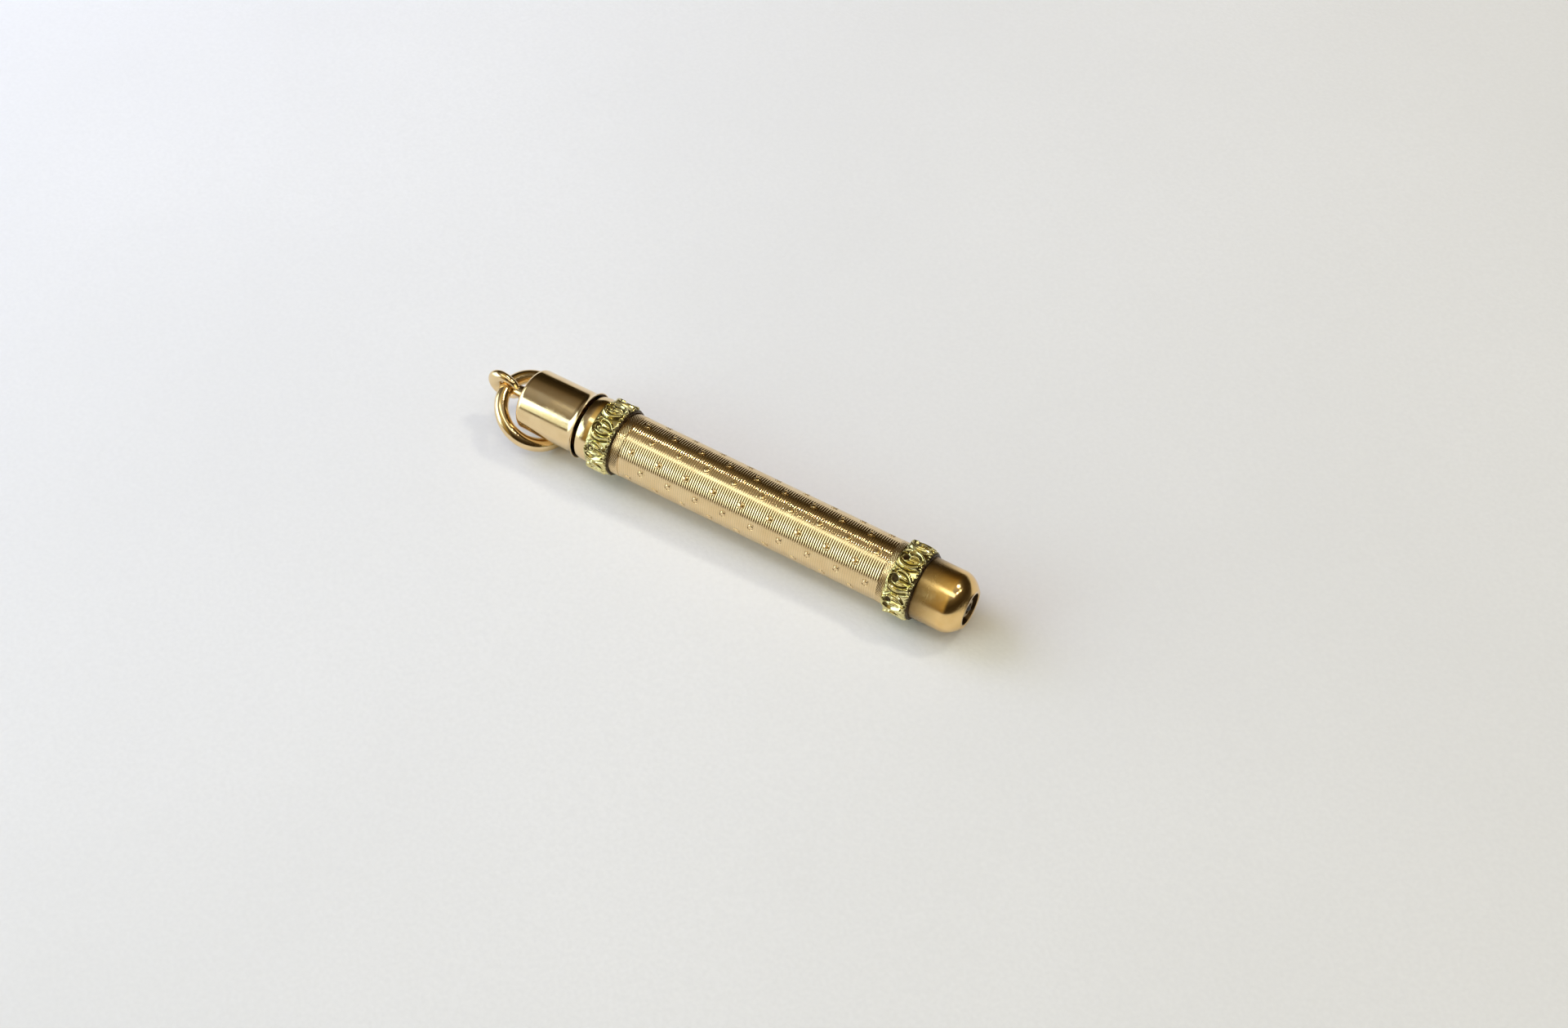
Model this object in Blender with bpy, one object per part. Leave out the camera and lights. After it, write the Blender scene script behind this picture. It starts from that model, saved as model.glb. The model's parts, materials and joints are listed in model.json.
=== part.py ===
"""Dance card pencil: a small gold propelling pencil that hangs from a ring.

Pulling the cap out of the barrel turns a spiral tube once, and the spiral tube
drives the pencil point out of the nose. Metres, +Z up, nose along +X.
"""

import math

import bmesh
import bpy
from mathutils import Matrix, Vector

MM = 0.001

# Stations along the pencil's axis, from the middle of its length
NOSE_END = 27.86 * MM
DOME_START = 25.90 * MM
FRONT_BAND_X = (20.05 * MM, 22.92 * MM)
REAR_BAND_X = (-13.73 * MM, -10.95 * MM)
COLLAR_END = -15.15 * MM
LIP_EDGE = -15.36 * MM
FLARE_START = -16.25 * MM
CAP_END = -22.49 * MM
EYE_X = -25.45 * MM
CASE_JOINT_FRONT = 20.90 * MM
CASE_JOINT_REAR = -12.75 * MM

# Outer case
BARREL_R_REAR = 3.28 * MM
BARREL_R_FRONT = 3.21 * MM
CASE_BORE = 2.90 * MM
CAP_R = 3.25 * MM
CAP_EDGE = 0.40 * MM
CAP_TOP_WALL = 0.50 * MM
LIP_R = 3.55 * MM
LIP_WALL = 0.16 * MM
COLLAR_R = 3.38 * MM
COLLAR_EDGE_R = 3.30 * MM
NOSE_R = 3.15 * MM
NOSE_RIM_R = 2.05 * MM
NOSE_HOLE_R = 1.64 * MM
NOSE_BORE_START = 24.60 * MM
SOLDER_GAP = 0.03 * MM

# Scroll ornament of the two applied bands
REAR_BAND_R = 3.83 * MM
FRONT_BAND_R = 3.79 * MM
BAND_WALL = 0.12 * MM
SCROLLS = 9
SCROLL_COLUMNS = 10
SCROLL_ROWS = 9

# Nested tubes of the mechanism as (inner, outer) radii, each running in the next
DRAW_TUBE_R = (2.525 * MM, 2.825 * MM)
GUIDE_TUBE_R = (2.175 * MM, 2.45 * MM)
SPIRAL_TUBE_R = (1.80 * MM, 2.10 * MM)
CARRIER_R = 1.725 * MM
PIN_R = 0.35 * MM
SLOT_HALF = 0.45 * MM

# Travels: the cap's pull turns the spiral tube once and drives the point half as far
PULL = 22.0 * MM
POINT_TRAVEL = PULL / 2
SPIN_PER_PULL = math.tau / PULL
DRAW_PIN_X = 11.10 * MM
CARRIER_PIN_X = 12.30 * MM

# Inner pieces at rest
DRAW_TUBE_X = (-21.95 * MM, 12.20 * MM)
GUIDE_TUBE_X = (-13.40 * MM, 24.40 * MM)
SPIRAL_TUBE_X = (-12.90 * MM, 24.10 * MM)
REAR_BUSH_X = (-13.40 * MM, -12.98 * MM)
REAR_BUSH_R = (1.20 * MM, 2.14 * MM)
THRUST_WASHER_X = (24.15 * MM, 24.37 * MM)
THRUST_WASHER_R = (1.80 * MM, 2.14 * MM)
FRONT_BUSH_X = (22.00 * MM, 24.30 * MM)
FRONT_BUSH_R = (2.48 * MM, 2.87 * MM)
CARRIER_X = (11.30 * MM, 13.50 * MM)
SPIGOT_R = 1.10 * MM
SPIGOT_END = 16.30 * MM
NOZZLE_R = 1.55 * MM
TAPER_START = 22.50 * MM
NOZZLE_TIP_X = 27.66 * MM
NOZZLE_TIP_R = 0.95 * MM
LEAD_R = 0.55 * MM
LEAD_X = (16.90 * MM, 27.84 * MM)
LEAD_POINT = 0.54 * MM
LEAD_POINT_R = 0.12 * MM

# Eye, its collar and the hanging ring
EYE_HOLE_R = 0.81 * MM
EYE_OUTER_R = 1.78 * MM
EYE_OFFSET = 0.63 * MM
EYE_TAIL_R = 0.45 * MM
EYE_NECK_R = 0.85 * MM
EYE_WAIST_R = 0.62 * MM
EYE_JOIN_R = 0.44 * MM
RIVET_R = 0.75 * MM
RIVET_THICK = 0.30 * MM
EYE_COLLAR_R = 1.15 * MM
EYE_COLLAR_THICK = 0.48 * MM
RING_MEAN_R = 3.70 * MM
RING_WIRE_R = 0.74 * MM
RING_REST_GAP = 0.06 * MM

# The ring hangs folded under the cap, which rests on it
RING_DROP = CAP_R + RING_WIRE_R + RING_REST_GAP
RING_FOLD = math.asin(RING_DROP / (2 * RING_MEAN_R))
AXIS_Z = RING_DROP + RING_WIRE_R

CASE_SEGMENTS = 44
TUBE_SEGMENTS = 32
PIN_SEGMENTS = 16
NECK_SEGMENTS = 18
EYE_COLLAR_SEGMENTS = 24
WIRE_SEGMENTS = 12
RING_SEGMENTS = 36
EYE_SEGMENTS = 28
ARC_STEPS = 4
DOME_STEPS = 6
HELIX_STEP = math.radians(11)
CUT_MARGIN = 0.15 * MM
UP = 1.0
DOWN = -1.0
SHARP_ANGLE = math.radians(32)


def clear_scene():
    for existing in list(bpy.data.objects):
        bpy.data.objects.remove(existing, do_unlink=True)


def finish_material(name, colour, roughness, metallic=1.0):
    made = bpy.data.materials.new(name)
    made.use_nodes = True
    shader = made.node_tree.nodes["Principled BSDF"]
    shader.inputs["Base Color"].default_value = (*colour, 1.0)
    shader.inputs["Roughness"].default_value = roughness
    shader.inputs["Metallic"].default_value = metallic
    return made


def body_frame(name, location, parent=None):
    """An empty on a body's joint axis, which carries the body's pieces."""
    frame = bpy.data.objects.new(name, None)
    frame.empty_display_size = 4 * MM
    frame.location = location
    frame.parent = parent
    bpy.context.scene.collection.objects.link(frame)
    return frame


def place(name, bm, material, parent):
    """Turn a bmesh into a named, smooth object under its body's frame."""
    bmesh.ops.remove_doubles(bm, verts=bm.verts, dist=1e-7)
    bmesh.ops.recalc_face_normals(bm, faces=bm.faces)
    mesh = bpy.data.meshes.new(name)
    bm.to_mesh(mesh)
    bm.free()
    mesh.shade_smooth()
    mesh.set_sharp_from_angle(angle=SHARP_ANGLE)
    if material:
        mesh.materials.append(material)
    piece = bpy.data.objects.new(name, mesh)
    piece.parent = parent
    bpy.context.scene.collection.objects.link(piece)
    return piece


def combine(piece, tool, operation):
    """Cut or join a hidden tool shape into a piece."""
    tool.hide_render = True
    tool.display_type = "WIRE"
    step = piece.modifiers.new(tool.name, "BOOLEAN")
    step.operation = operation
    step.solver = "EXACT"
    step.object = tool


def spin_profile(profile, segments, closed):
    """Revolve a list of (x, radius) points around the pencil's axis."""
    bm = bmesh.new()
    verts = [bm.verts.new((x, 0.0, radius)) for x, radius in profile]
    edges = [bm.edges.new(pair) for pair in zip(verts, verts[1:])]
    if closed:
        edges.append(bm.edges.new((verts[-1], verts[0])))
    bmesh.ops.spin(bm, geom=verts + edges, cent=(0, 0, 0), axis=(1, 0, 0),
                   angle=math.tau, steps=segments, use_merge=True)
    return bm


def turned(name, profile, segments, material, parent, closed=True):
    """A turned piece: a closed profile gives a ring, an open one a solid bar."""
    return place(name, spin_profile(profile, segments, closed), material, parent)


def tube(name, span, radii, segments, material, parent):
    start, end = span
    inner, outer = radii
    profile = [(start, inner), (start, outer), (end, outer), (end, inner)]
    return turned(name, profile, segments, material, parent)


def corner_arc(centre_x, centre_r, radius, start, end):
    """Points of a round corner, with angles counted from +X towards +radius."""
    points = []
    for step in range(ARC_STEPS + 1):
        angle = start + (end - start) * step / ARC_STEPS
        points.append((centre_x + radius * math.cos(angle), centre_r + radius * math.sin(angle)))
    return points


def pin_mesh(x, side, near, far, radius):
    """A pin along Z through the axis at x, between two distances from it."""
    bm = bmesh.new()
    middle = Matrix.Translation((x, 0.0, side * (near + far) / 2))
    bmesh.ops.create_cone(bm, cap_ends=True, segments=PIN_SEGMENTS, radius1=radius,
                          radius2=radius, depth=far - near, matrix=middle)
    return bm


def straight_slot(name, x_range, side, radii, parent):
    """A round-ended bar that cuts a straight slot through a tube's wall."""
    start, end = x_range
    near = radii[0] - CUT_MARGIN
    far = radii[1] + CUT_MARGIN
    outline = []
    for centre, first in ((end, -math.pi / 2), (start, math.pi / 2)):
        for step in range(ARC_STEPS + 1):
            angle = first + math.pi * step / ARC_STEPS
            outline.append((centre + SLOT_HALF * math.cos(angle), SLOT_HALF * math.sin(angle)))
    bm = bmesh.new()
    face = bm.faces.new([bm.verts.new((x, y, side * near)) for x, y in outline])
    grown = bmesh.ops.extrude_face_region(bm, geom=[face])
    moved = [item for item in grown["geom"] if isinstance(item, bmesh.types.BMVert)]
    bmesh.ops.translate(bm, verts=moved, vec=(0, 0, side * (far - near)))
    return place(name, bm, None, parent)


def helical_slot(name, x_range, angle_at_start, turn_per_length, parent):
    """A helical bar that cuts a slot of constant width through the spiral tube."""
    start = x_range[0] - SLOT_HALF
    end = x_range[1] + SLOT_HALF
    mean = sum(SPIRAL_TUBE_R) / 2
    half_angle = SLOT_HALF * math.hypot(1.0, mean * turn_per_length) / mean
    near = SPIRAL_TUBE_R[0] - CUT_MARGIN
    far = SPIRAL_TUBE_R[1] + CUT_MARGIN
    steps = math.ceil((end - start) * abs(turn_per_length) / HELIX_STEP)
    bm = bmesh.new()
    sections = []
    for step in range(steps + 1):
        x = start + (end - start) * step / steps
        middle = angle_at_start + turn_per_length * (x - x_range[0])
        corners = ((near, -half_angle), (far, -half_angle), (far, half_angle), (near, half_angle))
        section = []
        for radius, offset in corners:
            angle = middle + offset
            section.append(bm.verts.new((x, radius * math.cos(angle), radius * math.sin(angle))))
        sections.append(section)
    for before, after in zip(sections, sections[1:]):
        for side in range(4):
            following = (side + 1) % 4
            bm.faces.new((before[side], before[following], after[following], after[side]))
    bm.faces.new(sections[0])
    bm.faces.new(sections[-1])
    return place(name, bm, None, parent)


def wire_loop(mean_radius, wire_radius, segments, turn):
    """A round wire bent to a circle in the XY plane, then moved by a matrix."""
    bm = bmesh.new()
    upright = Matrix.Translation((mean_radius, 0, 0)) @ Matrix.Rotation(math.pi / 2, 4, "X")
    bmesh.ops.create_circle(bm, segments=WIRE_SEGMENTS, radius=wire_radius, matrix=upright)
    bmesh.ops.spin(bm, geom=bm.verts[:] + bm.edges[:], cent=(0, 0, 0), axis=(0, 0, 1),
                   angle=math.tau, steps=segments, use_merge=True)
    bmesh.ops.transform(bm, matrix=turn, verts=bm.verts)
    return bm


def eye_loop(hole_radius, outer_radius, offset, segments, turn):
    """A loop in the XY plane, thickest at -X, where its outside stands off from its hole."""
    bm = bmesh.new()
    sections = []
    for step in range(segments):
        angle = math.tau * step / segments
        reach = math.sqrt(outer_radius ** 2 - (offset * math.sin(angle)) ** 2)
        reach -= offset * math.cos(angle)
        wire = (reach - hole_radius) / 2
        section = []
        for part in range(WIRE_SEGMENTS):
            around = math.tau * part / WIRE_SEGMENTS
            radius = hole_radius + wire + wire * math.cos(around)
            height = wire * math.sin(around)
            section.append(bm.verts.new((radius * math.cos(angle), radius * math.sin(angle), height)))
        sections.append(section)
    for step, section in enumerate(sections):
        following = sections[(step + 1) % segments]
        for part in range(WIRE_SEGMENTS):
            beside = (part + 1) % WIRE_SEGMENTS
            bm.faces.new((section[part], following[part], following[beside], section[beside]))
    bmesh.ops.transform(bm, matrix=turn, verts=bm.verts)
    return bm


def scroll_relief(along, across):
    """Height, 0 to 1, of one scroll: an open eye near its cap end and fanned leaf ribs.

    along runs 0 to 1 from the cap side to the nose side, across -0.5 to 0.5.
    """
    arch = 0.35 + 0.65 * math.sin(math.pi * along / 1.25)
    valley = 1.0 - 0.6 * math.exp(-(((abs(across) - 0.5) / 0.11) ** 2))
    eye_distance = math.hypot((along - 0.3) / 0.17, across / 0.19)
    eye = math.exp(-(eye_distance ** 4))
    fan_angle = math.atan2(across, along - 0.3)
    fan = max(0.0, min(1.0, (along - 0.4) / 0.2))
    ribs = 0.13 * fan * math.cos(7.0 * fan_angle)
    return max(0.0, min(1.0, arch * valley * (1.0 - 0.9 * eye) + ribs))


def scroll_band(name, span, seat_radius, peak_radius, material, parent):
    """An applied ring whose outer face swells into a row of scrolls, two of them at the foot."""
    start, end = span
    inner = seat_radius + SOLDER_GAP
    lowest = inner + BAND_WALL
    columns = SCROLLS * SCROLL_COLUMNS
    bm = bmesh.new()
    rings = []
    stations = [(start, None)]
    for row in range(SCROLL_ROWS + 1):
        stations.append((start + (end - start) * row / SCROLL_ROWS, row / SCROLL_ROWS))
    stations.append((end, None))
    for x, along in stations:
        ring = []
        for column in range(columns):
            turn = math.tau * column / columns - math.pi / 2
            across = (column % SCROLL_COLUMNS) / SCROLL_COLUMNS - 0.5
            radius = inner
            if along is not None:
                radius = lowest + (peak_radius - lowest) * scroll_relief(along, across)
            ring.append(bm.verts.new((x, radius * math.cos(turn), radius * math.sin(turn))))
        rings.append(ring)
    rings.append(rings[0])
    for before, after in zip(rings, rings[1:]):
        for column in range(columns):
            following = (column + 1) % columns
            bm.faces.new((before[column], before[following], after[following], after[column]))
    return place(name, bm, material, parent)


def make_barrel(finish, parent):
    profile = [(CASE_JOINT_REAR, CASE_BORE), (CASE_JOINT_REAR, BARREL_R_REAR),
               (CASE_JOINT_FRONT, BARREL_R_FRONT), (CASE_JOINT_FRONT, CASE_BORE)]
    return turned("barrel_tube", profile, CASE_SEGMENTS, finish, parent)


def make_mouth_collar(finish, parent):
    """The plain swelled ring at the barrel's mouth, with a step under the rear band."""
    shoulder = REAR_BAND_X[0] - SOLDER_GAP
    joint = CASE_JOINT_REAR - SOLDER_GAP
    profile = [(joint, CASE_BORE), (joint, BARREL_R_REAR), (shoulder, BARREL_R_REAR)]
    for step in range(ARC_STEPS + 1):
        part = step / ARC_STEPS
        swell = (COLLAR_R - COLLAR_EDGE_R) * math.sin(math.pi * part)
        x = shoulder + (COLLAR_END - shoulder) * part
        profile.append((x, COLLAR_EDGE_R + SOLDER_GAP + swell))
    profile.append((COLLAR_END, CASE_BORE))
    return turned("mouth_collar", profile, CASE_SEGMENTS, finish, parent)


def make_nose(finish, parent):
    """The domed nose: thin where it takes the barrel, thick where it guides the point."""
    joint = CASE_JOINT_FRONT + SOLDER_GAP
    shoulder = FRONT_BAND_X[1] + SOLDER_GAP
    profile = [(joint, CASE_BORE), (joint, BARREL_R_FRONT), (shoulder, BARREL_R_FRONT),
               (shoulder, NOSE_R)]
    for step in range(DOME_STEPS + 1):
        part = step / DOME_STEPS
        x = DOME_START + (NOSE_END - DOME_START) * part
        profile.append((x, NOSE_R - (NOSE_R - NOSE_RIM_R) * part ** 2.2))
    profile += [(NOSE_END, NOSE_HOLE_R), (NOSE_BORE_START, NOSE_HOLE_R),
                (NOSE_BORE_START, CASE_BORE)]
    return turned("nose", profile, CASE_SEGMENTS, finish, parent)


def make_guide_tube(finish, parent):
    """The fixed tube whose two straight slots keep the pins from turning."""
    piece = tube("guide_tube", GUIDE_TUBE_X, GUIDE_TUBE_R, TUBE_SEGMENTS, finish, parent)
    rear = (DRAW_PIN_X - PULL, DRAW_PIN_X)
    front = (CARRIER_PIN_X, CARRIER_PIN_X + POINT_TRAVEL)
    combine(piece, straight_slot("draw_slot_cut", rear, UP, GUIDE_TUBE_R, parent), "DIFFERENCE")
    combine(piece, straight_slot("carrier_slot_cut", front, DOWN, GUIDE_TUBE_R, parent),
            "DIFFERENCE")
    return piece


def make_spiral_tube(finish, parent):
    """The turning tube with two helical slots of opposite hand."""
    piece = tube("spiral_tube", SPIRAL_TUBE_X, SPIRAL_TUBE_R, TUBE_SEGMENTS, finish, parent)
    rear = (DRAW_PIN_X - PULL, DRAW_PIN_X)
    rear_angle = math.pi / 2 - SPIN_PER_PULL * PULL
    front = (CARRIER_PIN_X, CARRIER_PIN_X + POINT_TRAVEL)
    front_turn = -SPIN_PER_PULL * PULL / POINT_TRAVEL
    rear_cut = helical_slot("draw_helix_cut", rear, rear_angle, SPIN_PER_PULL, parent)
    front_cut = helical_slot("carrier_helix_cut", front, -math.pi / 2, front_turn, parent)
    combine(piece, rear_cut, "DIFFERENCE")
    combine(piece, front_cut, "DIFFERENCE")
    return piece


def make_draw_tube(finish, pin_finish, parent):
    """The tube that the cap pulls, with the pin that turns the spiral tube."""
    piece = tube("draw_tube", DRAW_TUBE_X, DRAW_TUBE_R, TUBE_SEGMENTS, finish, parent)
    hole = pin_mesh(DRAW_PIN_X, UP, DRAW_TUBE_R[0] - CUT_MARGIN, DRAW_TUBE_R[1] + CUT_MARGIN,
                    PIN_R + SOLDER_GAP)
    combine(piece, place("draw_pin_hole_cut", hole, None, parent), "DIFFERENCE")
    inner_end = SPIRAL_TUBE_R[0] + 2 * SOLDER_GAP
    outer_end = DRAW_TUBE_R[1] - SOLDER_GAP
    pin = pin_mesh(DRAW_PIN_X, UP, inner_end, outer_end, PIN_R)
    place("draw_pin", pin, pin_finish, parent)


def make_cap(finish, parent):
    """The drawn cap: flat top with a round edge, and a thin flared lip."""
    hole = EYE_TAIL_R + SOLDER_GAP
    profile = [(CAP_END, hole)]
    profile += corner_arc(CAP_END + CAP_EDGE, CAP_R - CAP_EDGE, CAP_EDGE, math.pi, math.pi / 2)
    flare_end = LIP_EDGE - LIP_WALL / 2
    for step in range(ARC_STEPS + 1):
        part = step / ARC_STEPS
        x = FLARE_START + (flare_end - FLARE_START) * part
        profile.append((x, CAP_R + (LIP_R - CAP_R) * part ** 2))
    profile.append((LIP_EDGE, LIP_R - LIP_WALL / 2))
    for step in range(ARC_STEPS + 1):
        part = 1 - step / ARC_STEPS
        x = FLARE_START + (LIP_EDGE - FLARE_START) * part
        profile.append((x, CASE_BORE + (LIP_R - LIP_WALL - CASE_BORE) * part ** 1.6))
    inside_top = CAP_END + CAP_TOP_WALL
    profile += [(inside_top, CASE_BORE), (inside_top, hole)]
    return turned("cap_shell", profile, CASE_SEGMENTS, finish, parent)


def make_eye(finish, parent):
    """The eye on its tapered neck, riveted through the cap's top, and its collar."""
    inside_top = CAP_END + CAP_TOP_WALL
    collar_near = CAP_END - SOLDER_GAP
    collar_far = collar_near - EYE_COLLAR_THICK
    rivet_face = inside_top + SOLDER_GAP
    neck_foot = collar_far - SOLDER_GAP
    outer_edge = EYE_X + EYE_OUTER_R - EYE_OFFSET
    loop_x = (EYE_X + EYE_HOLE_R + outer_edge) / 2
    waist_x = (neck_foot + loop_x) / 2
    upright = Matrix.Translation((EYE_X, 0, 0)) @ Matrix.Rotation(math.pi / 2, 4, "X")
    loop = eye_loop(EYE_HOLE_R, EYE_OUTER_R, EYE_OFFSET, EYE_SEGMENTS, upright)
    eye = place("pendant_eye", loop, finish, parent)
    neck = [(rivet_face + RIVET_THICK, 0.0), (rivet_face + RIVET_THICK, RIVET_R),
            (rivet_face, RIVET_R), (rivet_face, EYE_TAIL_R), (neck_foot, EYE_TAIL_R),
            (neck_foot, EYE_NECK_R), (waist_x, EYE_WAIST_R), (loop_x, EYE_JOIN_R), (loop_x, 0.0)]
    neck_piece = turned("eye_neck_join", neck, NECK_SEGMENTS, None, parent, closed=False)
    combine(eye, neck_piece, "UNION")
    hole = EYE_TAIL_R + SOLDER_GAP
    round_edge = EYE_COLLAR_THICK / 2
    collar = [(collar_far, hole), (collar_near, hole)]
    collar += corner_arc(collar_near - round_edge, EYE_COLLAR_R - round_edge, round_edge,
                         0.0, math.pi)
    turned("eye_collar", collar, EYE_COLLAR_SEGMENTS, finish, parent)


def make_ring(finish, parent):
    """The hanging ring, threaded through the eye and folded under the cap."""
    half_step = Matrix.Rotation(math.pi / RING_SEGMENTS, 4, "Z")
    fold = Matrix.Rotation(RING_FOLD, 4, "Y") @ Matrix.Translation((RING_MEAN_R, 0, 0)) @ half_step
    place("jump_ring", wire_loop(RING_MEAN_R, RING_WIRE_R, RING_SEGMENTS, fold), finish, parent)


def make_point(finish, pin_finish, lead_finish, parent):
    """The sliding point: a carrier with its pin, the nozzle and the lead."""
    back, front = CARRIER_X
    bar = [(back, 0.0), (back, CARRIER_R), (front, CARRIER_R), (front, SPIGOT_R),
           (SPIGOT_END, SPIGOT_R), (SPIGOT_END, 0.0)]
    carrier = turned("carrier", bar, TUBE_SEGMENTS, finish, parent, closed=False)
    pin_foot = CARRIER_R / 3
    hole = pin_mesh(CARRIER_PIN_X, DOWN, pin_foot - SOLDER_GAP, CARRIER_R + CUT_MARGIN,
                    PIN_R + SOLDER_GAP)
    combine(carrier, place("carrier_pin_hole_cut", hole, None, parent), "DIFFERENCE")
    pin = pin_mesh(CARRIER_PIN_X, DOWN, pin_foot, GUIDE_TUBE_R[1] - 2 * SOLDER_GAP, PIN_R)
    place("carrier_pin", pin, pin_finish, parent)

    socket = SPIGOT_R + SOLDER_GAP
    bore = LEAD_R + SOLDER_GAP
    seat = front + SOLDER_GAP
    socket_end = SPIGOT_END + SOLDER_GAP
    tip_round = 0.1 * MM
    nozzle = [(seat, socket), (seat, NOZZLE_R), (TAPER_START, NOZZLE_R),
              (NOZZLE_TIP_X - tip_round, NOZZLE_TIP_R), (NOZZLE_TIP_X, NOZZLE_TIP_R - tip_round),
              (NOZZLE_TIP_X, bore), (socket_end, bore), (socket_end, socket)]
    turned("nozzle", nozzle, TUBE_SEGMENTS, finish, parent)

    lead_back, lead_tip = LEAD_X
    lead = [(lead_back, 0.0), (lead_back, LEAD_R), (lead_tip - LEAD_POINT, LEAD_R),
            (lead_tip, LEAD_POINT_R), (lead_tip, 0.0)]
    turned("lead", lead, PIN_SEGMENTS, lead_finish, parent, closed=False)


def main():
    clear_scene()
    rose_gold = finish_material("rose_gold", (0.80, 0.52, 0.26), 0.22)
    green_gold = finish_material("green_gold", (0.68, 0.60, 0.24), 0.30)
    inner_brass = finish_material("inner_brass", (0.70, 0.52, 0.22), 0.35)
    steel = finish_material("steel", (0.55, 0.55, 0.57), 0.30)
    graphite = finish_material("graphite", (0.05, 0.05, 0.055), 0.55, 0.0)

    barrel = body_frame("barrel_frame", Vector((0, 0, AXIS_Z)))
    cap = body_frame("cap_slide_frame", Vector((0, 0, 0)), barrel)
    spiral = body_frame("spiral_spin_frame", Vector((0, 0, 0)), barrel)
    point = body_frame("point_slide_frame", Vector((0, 0, 0)), barrel)
    ring = body_frame("ring_swing_frame", Vector((EYE_X, 0, 0)), cap)

    make_barrel(rose_gold, barrel)
    make_mouth_collar(rose_gold, barrel)
    scroll_band("rear_scroll_band", REAR_BAND_X, BARREL_R_REAR, REAR_BAND_R, green_gold, barrel)
    scroll_band("front_scroll_band", FRONT_BAND_X, BARREL_R_FRONT, FRONT_BAND_R, green_gold,
                barrel)
    make_nose(rose_gold, barrel)
    make_guide_tube(inner_brass, barrel)
    tube("front_bush", FRONT_BUSH_X, FRONT_BUSH_R, TUBE_SEGMENTS, inner_brass, barrel)
    tube("rear_bush", REAR_BUSH_X, REAR_BUSH_R, TUBE_SEGMENTS, inner_brass, barrel)
    tube("thrust_washer", THRUST_WASHER_X, THRUST_WASHER_R, TUBE_SEGMENTS, steel, barrel)
    make_spiral_tube(inner_brass, spiral)
    make_cap(rose_gold, cap)
    make_eye(rose_gold, cap)
    make_draw_tube(rose_gold, steel, cap)
    make_ring(rose_gold, ring)
    make_point(rose_gold, steel, graphite, point)


main()
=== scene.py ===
"""Looks of the dance card pencil: engine-turned gold barrel, chased bands, ring and stage."""

import json
import math

import bpy
import numpy as np
from mathutils import Matrix, Vector


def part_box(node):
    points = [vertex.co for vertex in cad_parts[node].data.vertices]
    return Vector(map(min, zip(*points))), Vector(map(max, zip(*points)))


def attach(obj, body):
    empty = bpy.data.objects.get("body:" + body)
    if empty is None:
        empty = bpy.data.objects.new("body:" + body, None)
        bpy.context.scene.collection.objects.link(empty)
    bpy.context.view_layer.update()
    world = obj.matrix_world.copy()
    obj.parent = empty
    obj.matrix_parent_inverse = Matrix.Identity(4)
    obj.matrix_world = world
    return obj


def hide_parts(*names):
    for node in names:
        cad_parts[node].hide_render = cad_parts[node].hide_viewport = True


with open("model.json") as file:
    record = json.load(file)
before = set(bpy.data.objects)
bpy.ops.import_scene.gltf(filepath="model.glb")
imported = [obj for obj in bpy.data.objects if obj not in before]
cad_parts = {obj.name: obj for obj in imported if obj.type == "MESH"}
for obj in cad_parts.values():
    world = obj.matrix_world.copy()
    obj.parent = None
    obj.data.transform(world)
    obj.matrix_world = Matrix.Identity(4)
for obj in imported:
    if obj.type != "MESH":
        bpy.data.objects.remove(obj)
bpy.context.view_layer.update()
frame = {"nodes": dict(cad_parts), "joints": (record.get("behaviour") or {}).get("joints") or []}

MM = 0.001


def joint_place(name):
    return Vector(next(j["pos_m"] for j in frame["joints"] if j["name"] == name))


AXIS_Z = joint_place("spiral_spin").z
RING_HINGE = joint_place("ring_swing")


def span(node):
    """Where a piece of the CAD model starts and ends along the pencil."""
    low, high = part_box(node)
    return low.x, high.x


def outer_radius(node):
    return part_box(node)[1].z - AXIS_Z


# Barrel and its engraving
BARREL_START, BARREL_END = span("barrel_tube")
CASE_BORE = 2.90 * MM
BARREL_REAR_R = 3.28 * MM
BARREL_FRONT_R = 3.21 * MM
REAR_HATCH = 1.01 * MM
FRONT_HATCH = 0.71 * MM
GROOVES_START = span("rear_scroll_band")[1] + REAR_HATCH
GROOVES_END = span("front_scroll_band")[0] - FRONT_HATCH
GROOVE_COUNT = 120
GROOVE_DEPTH = 0.050 * MM
HATCH_LINES = 80
HATCH_DEPTH = 0.055 * MM
HATCH_SLANT = math.radians(-50)
HATCH_OVERLAP = 0.5 * MM
DOT_ROWS = 12
DOT_PITCH = 3.165 * MM
DOT_FIRST_X = -8.80 * MM
DOT_FIRST_ROW = math.radians(-42.7)
DOT_SIDES = 18
DOT_CROWN = 0.010 * MM
DOT_RINGS = ((0.41, -0.085), (0.385, 0.000), (0.345, 0.003), (0.315, -0.034), (0.275, -0.036),
             (0.245, 0.000), (0.165, 0.022))

# How dark the painted shade in the bottoms of the cuts is, 0 to 1
GROOVE_SHADE = 0.15
HATCH_SHADE = 0.60
DOT_SHADE = 0.80

# Scroll bands
SCROLLS = 9
SCROLL_COLUMNS = 46
SCROLL_ROWS = 54
BAND_SEAT_REAR = 3.31 * MM
BAND_SEAT_FRONT = 3.24 * MM
BAND_PLATE = 0.14 * MM

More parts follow.
